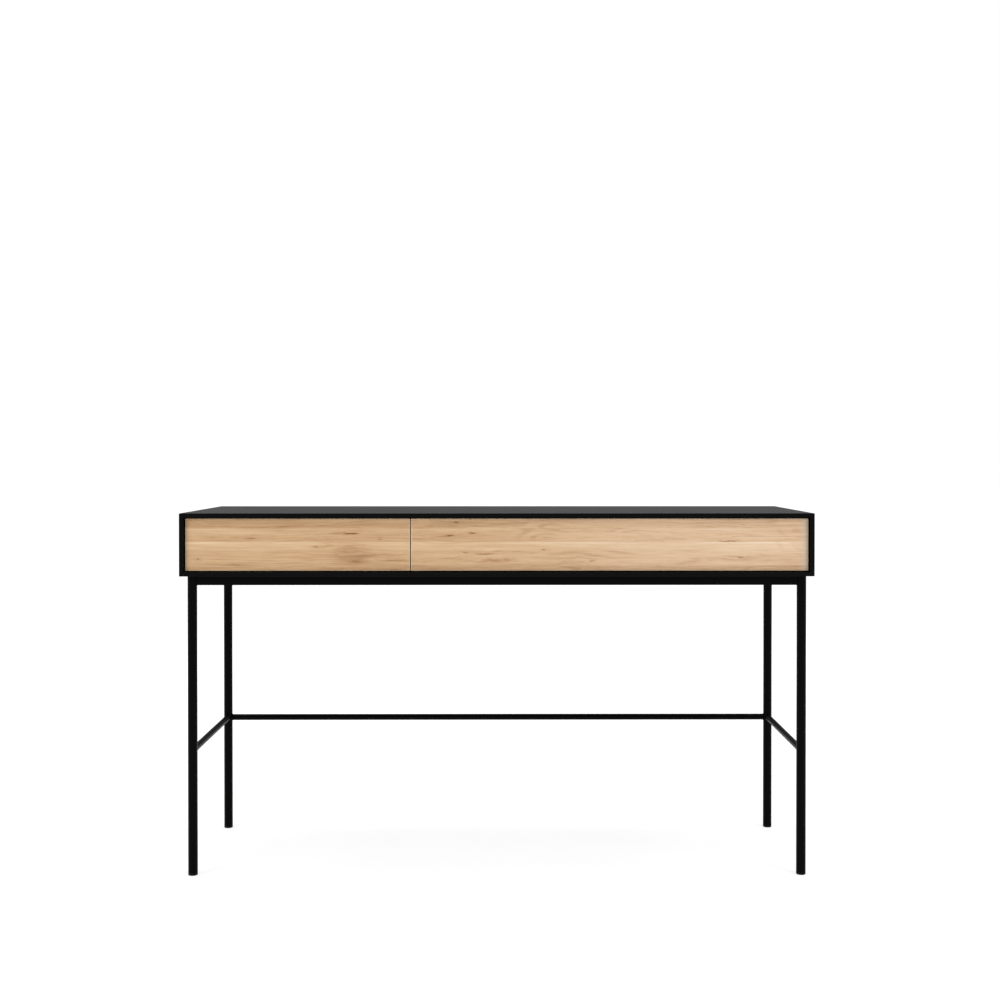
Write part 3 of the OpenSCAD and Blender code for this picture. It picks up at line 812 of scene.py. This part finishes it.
# Knots and pin marks: place along X, height above the fronts' lower edge, half length and half
# height of the mark, and its darkness.
knots = (
    (-0.690, 0.027, 0.004, 0.0018, 0.55), (-0.650, 0.076, 0.026, 0.0020, 0.16),
    (-0.568, 0.074, 0.014, 0.0024, 0.30), (-0.600, 0.014, 0.030, 0.0022, 0.22),
    (-0.419, 0.055, 0.008, 0.0017, 0.60), (-0.375, 0.086, 0.012, 0.0014, 0.30),
    (-0.334, 0.086, 0.019, 0.0022, 1.00), (-0.327, 0.022, 0.016, 0.0040, 0.34),
    (-0.272, 0.073, 0.003, 0.0016, 0.70), (-0.235, 0.023, 0.036, 0.0024, 0.34),
    (-0.352, 0.050, 0.022, 0.0030, 0.22), (-0.290, 0.036, 0.030, 0.0022, 0.30),
    (-0.105, 0.081, 0.008, 0.0014, 0.85), (-0.094, 0.112, 0.007, 0.0014, 0.50),
    (-0.059, 0.086, 0.008, 0.0016, 0.60), (-0.074, 0.042, 0.009, 0.0017, 0.60),
    (-0.030, 0.038, 0.034, 0.0024, 0.34), (-0.128, 0.079, 0.022, 0.0020, 0.30),
    (-0.004, 0.023, 0.018, 0.0050, 0.15), (0.022, 0.026, 0.008, 0.0040, 0.26),
    (0.110, 0.049, 0.005, 0.0014, 0.75), (0.218, 0.022, 0.008, 0.0022, 0.45),
    (0.532, 0.068, 0.028, 0.0010, 0.75), (0.563, 0.031, 0.008, 0.0022, 0.35),
)

# Pinker heartwood and stirred grain break through in patches: place, height, half length and half
# height, how pink, and how far the grain is stirred.
patches = (
    (-0.335, 0.036, 0.052, 0.026, 1.0, 0.9), (-0.123, 0.108, 0.034, 0.009, 0.9, 0.3),
    (-0.290, 0.112, 0.050, 0.010, 0.6, 0.0), (0.160, 0.118, 0.120, 0.010, 0.4, 0.0),
    (-0.040, 0.032, 0.070, 0.020, 0.1, 1.0), (0.160, 0.030, 0.060, 0.018, 0.3, 0.9),
    (-0.230, 0.034, 0.060, 0.016, 0.0, 0.9), (0.560, 0.034, 0.080, 0.016, 0.1, 0.8),
)


def oak_face(name, pale):
    """Long grain of the glued-up board, as it is or paler on the arrises: partly sanded back, partly a
    painted highlight where the rounded edges catch the light.
    """
    oak = Finish(name, {"Specular IOR Level": 0.28})
    down = fronts_high.z - oak.z
    first, second, third = (down.above(line) for line in glue_lines)

    def spot(x, height, length, thick):
        """Where a place is in a mark, counted in the mark's half sizes, and how far from its middle."""
        grow = (1 / length, 0, 1 / thick)
        back = (-x / length, 0, -(fronts_low.z + height) / thick)
        oval = oak.node("VectorMath", {"operation": "MULTIPLY_ADD"}, {0: ragged, 1: grow, 2: back})
        return oval, oak.node("VectorMath", {"operation": "LENGTH"}, {0: oval}, "Value")

    def moved(place, along, up):
        """The place slid along X and up Z."""
        slide = oak.node("CombineXYZ", None, {0: along, 1: 0.0, 2: up})
        return oak.node("VectorMath", {"operation": "ADD"}, {0: place, 1: slide})

    ragged_x = oak.noise((45, 1, 260), 2.0, (0, 3, 0)) - 0.5
    ragged_z = oak.noise((60, 1, 200), 2.0, (7, 5, 1)) - 0.5
    ragged = moved(oak.place, 24 * mm * ragged_x, 5 * mm * ragged_z)

    # Grain parts round each knot, so the place that is cut there is drawn towards its middle.
    bend, cores, halos, blush, stir = (0, 0, 0), oak.x * 0.0, oak.x * 0.0, oak.x * 0.0, oak.x * 0.0
    for x, height, length, thick, dark in knots:
        oval, near = spot(x, height, length, thick)
        halo = near.fall(0.5, 5.0, dark)
        cores = cores + near.fall(0.0, 1.5, dark)
        halos = halos + halo
        drawn = oak.node("VectorMath", {"operation": "SCALE"}, {0: oval, "Scale": halo})
        settings = {"operation": "MULTIPLY_ADD"}
        bend = oak.node("VectorMath", settings, {0: drawn, 1: (0, 0, -0.8 * thick), 2: bend})
    for x, height, length, thick, pinkness, stirred in patches:
        oval, near = spot(x, height, length, thick)
        patch = near.fall(0.25, 1.25)
        blush = blush + pinkness * patch
        stir = stir + stirred * patch

    stave = first + second + third
    straight = moved(oak.place, 1.37 * stave, 0.213 * stave)
    wander = oak.noise((2.2, 1, 9), 1.0, (0.6, 0, 3.1)) - 0.5
    cut = oak.node("VectorMath", {"operation": "ADD"}, {0: moved(straight, 0.0, 16 * mm * wander), 1: bend})
    swirl = oak.noise((22, 1, 70), 2.0, (4, 0, 4), cut) - 0.5
    swirl_here = 0.8 * oak.noise((5, 1, 26), 1.0, (6, 0, 6), cut).rise(0.52, 0.70) + 3.5 * stir
    cut = moved(cut, 0.0, 7 * mm * swirl * swirl_here)

    broad = oak.noise((1.3, 1, 36), 2.0, (0, 0, 0), cut) - 0.5
    bands = oak.noise((4.5, 1, 150), 3.0, (5, 0, 2), cut) - 0.5
    streaks = oak.noise((13, 1, 330), 2.0, (2, 0, 5), cut) - 0.5
    fibre = oak.noise((16, 1, 700), 3.0, (1, 0, 6), straight) - 0.5
    contours = 62
    flame = (oak.noise((5.0, 1, 24), 1.0, (8, 0, 5), cut) * contours).sine().rise(-0.2, 1.0)
    flame_here = oak.noise((5.0, 1, 22), 1.0, (3, 0, 9), cut).rise(0.50, 0.64)
    flame_here = flame_here * oak.x.rise(-0.58, -0.40)
    flecks = oak.noise((34, 1, 420), 1.0, (9, 0, 3), cut).rise(0.60, 0.72)
    pores = oak.noise((75, 1, 2300), 2.0, (2, 0, 2), straight).rise(0.60, 0.74)
    dry = oak.noise((3, 1, 40), 1.0, (2, 0, 8)).rise(0.40, 0.60)

    def line_at(place, width):
        """A thin line along one glue joint."""
        return oak.node("Math", {"operation": "ABSOLUTE"}, {0: down - place}).fall(0.0, width)

    shadows = sum((line_at(line, 0.3 * mm) for line in glue_lines), down * 0.0)
    # Paler bands just under the first two glue lines, and the second and third staves darker towards their
    # lower edges.
    bright_under_joints = line_at(glue_lines[0] + 1.5 * mm, 3 * mm) + 1.2 * line_at(glue_lines[1] + 2 * mm, 4.5 * mm)
    fading = second * (1 - third) * (down - glue_lines[1]).rise(0.0, 55 * mm)
    second_stave_darkening = first * (1 - second) * (down - glue_lines[0]).rise(0.0, 31 * mm)
    tone = 0.45 + 0.09 * first + 0.09 * second - 0.20 * third - 0.07 * second_stave_darkening
    tone = tone + 0.16 * bright_under_joints * dry - 0.15 * fading + 0.28 * broad
    tone = tone + (0.36 + 0.30 * stir) * bands + (0.32 + 0.30 * stir) * streaks
    tone = tone + 0.22 * fibre - 0.11 * flame * flame_here - 0.09 * flecks - 0.09 * pores
    tone = tone - 0.06 * shadows - 0.62 * cores - 0.10 * halos - 0.10 * blush

    left = oak.node("ValToRGB", {"stops": [
        (0.0, tint(96, 62, 38)), (0.25, tint(154, 117, 80)),
        (0.5, tint(183, 150, 113)), (1.0, tint(210, 184, 151)),
    ]}, {0: tone})
    right = oak.node("ValToRGB", {"stops": [
        (0.0, tint(104, 74, 50)), (0.25, tint(166, 133, 101)),
        (0.5, tint(193, 164, 134)), (1.0, tint(215, 196, 171)),
    ]}, {0: tone})
    # The board turns from the left tones to the paler right ones along X.
    heart = (oak.x + 0.25 * wander).rise(-0.40, 0.72)
    pink = oak.noise((4, 1, 30), 2.0, (1, 0, 1), cut).rise(0.52, 0.74)
    board = oak.blend(0.22 * pink + 0.40 * blush, oak.blend(heart, left, right), tint(164, 130, 100))
    # Painted sheen: over its last 25 mm the wide front's right end turns a greyish pale, as a haze of light
    # on that end.
    board = oak.blend(0.60 * oak.x.rise(0.692, 0.717), board, tint(184, 170, 155))
    # Painted highlight: the pale share lifts the arrises towards cream, partly sanded-back wood and partly
    # light caught by the rounded edges.
    board = oak.blend(pale, board, tint(240, 222, 198))
    oak.shade({
        "Base Color": board,
        "Roughness": 0.56 + 0.16 * pores - 0.10 * bands,
        "Normal": oak.bump(0.4 * fibre - 0.8 * pores - 0.5 * shadows, 0.10 * mm),
    })
    return oak.material


def oak_end():
    """End grain at the fronts' short edges: growth rings as shallow arcs, dotted with open pores."""
    oak = Finish("oak_end_grain", {"Specular IOR Level": 0.25})
    heart = (0, 0.05, 0.62)
    ring_turns = 2600
    apart = oak.node("VectorMath", {"operation": "SUBTRACT"}, {0: oak.place, 1: heart})
    flat = oak.node("VectorMath", {"operation": "MULTIPLY"}, {0: apart, 1: (0, 1, 1)})
    radius = oak.node("VectorMath", {"operation": "LENGTH"}, {0: flat}, "Value")
    ring = ((radius + 4 * mm * oak.noise((30, 30, 30), 1.0)) * ring_turns).sine().rise(-0.2, 0.9)
    pores = oak.noise((2100, 2100, 2100), 1.0).rise(0.56, 0.70)
    oak.shade({
        "Base Color": oak.blend(0.55 * ring + 0.4 * pores, tint(150, 110, 72), tint(98, 64, 38)),
        "Roughness": 0.66 + 0.14 * pores,
        "Normal": oak.bump(0.5 * ring - 0.7 * pores, 0.06 * mm),
    })
    return oak.material


long_grain = oak_face("oak_long_grain", 0.0)
# The arris finish is paler long grain: partly sanded-back wood, partly a painted highlight along the
# rounded edges.
arris_grain_and_highlight = oak_face("oak_arris_with_painted_highlight", 0.55)
end_grain = oak_end()
front_arris = 0.9 * mm
nearly_square = 0.98
for size in ("narrow", "wide"):
    node = size + "_drawer_front"
    front = softened(node, node + "_board", front_arris, end_grain, long_grain, arris_grain_and_highlight)
    by_direction(front, 0)
    for face in front.data.polygons:
        if max(abs(part) for part in face.normal) < nearly_square:
            face.material_index = 2
    fasten(front, size + "_drawer", "oak", node)
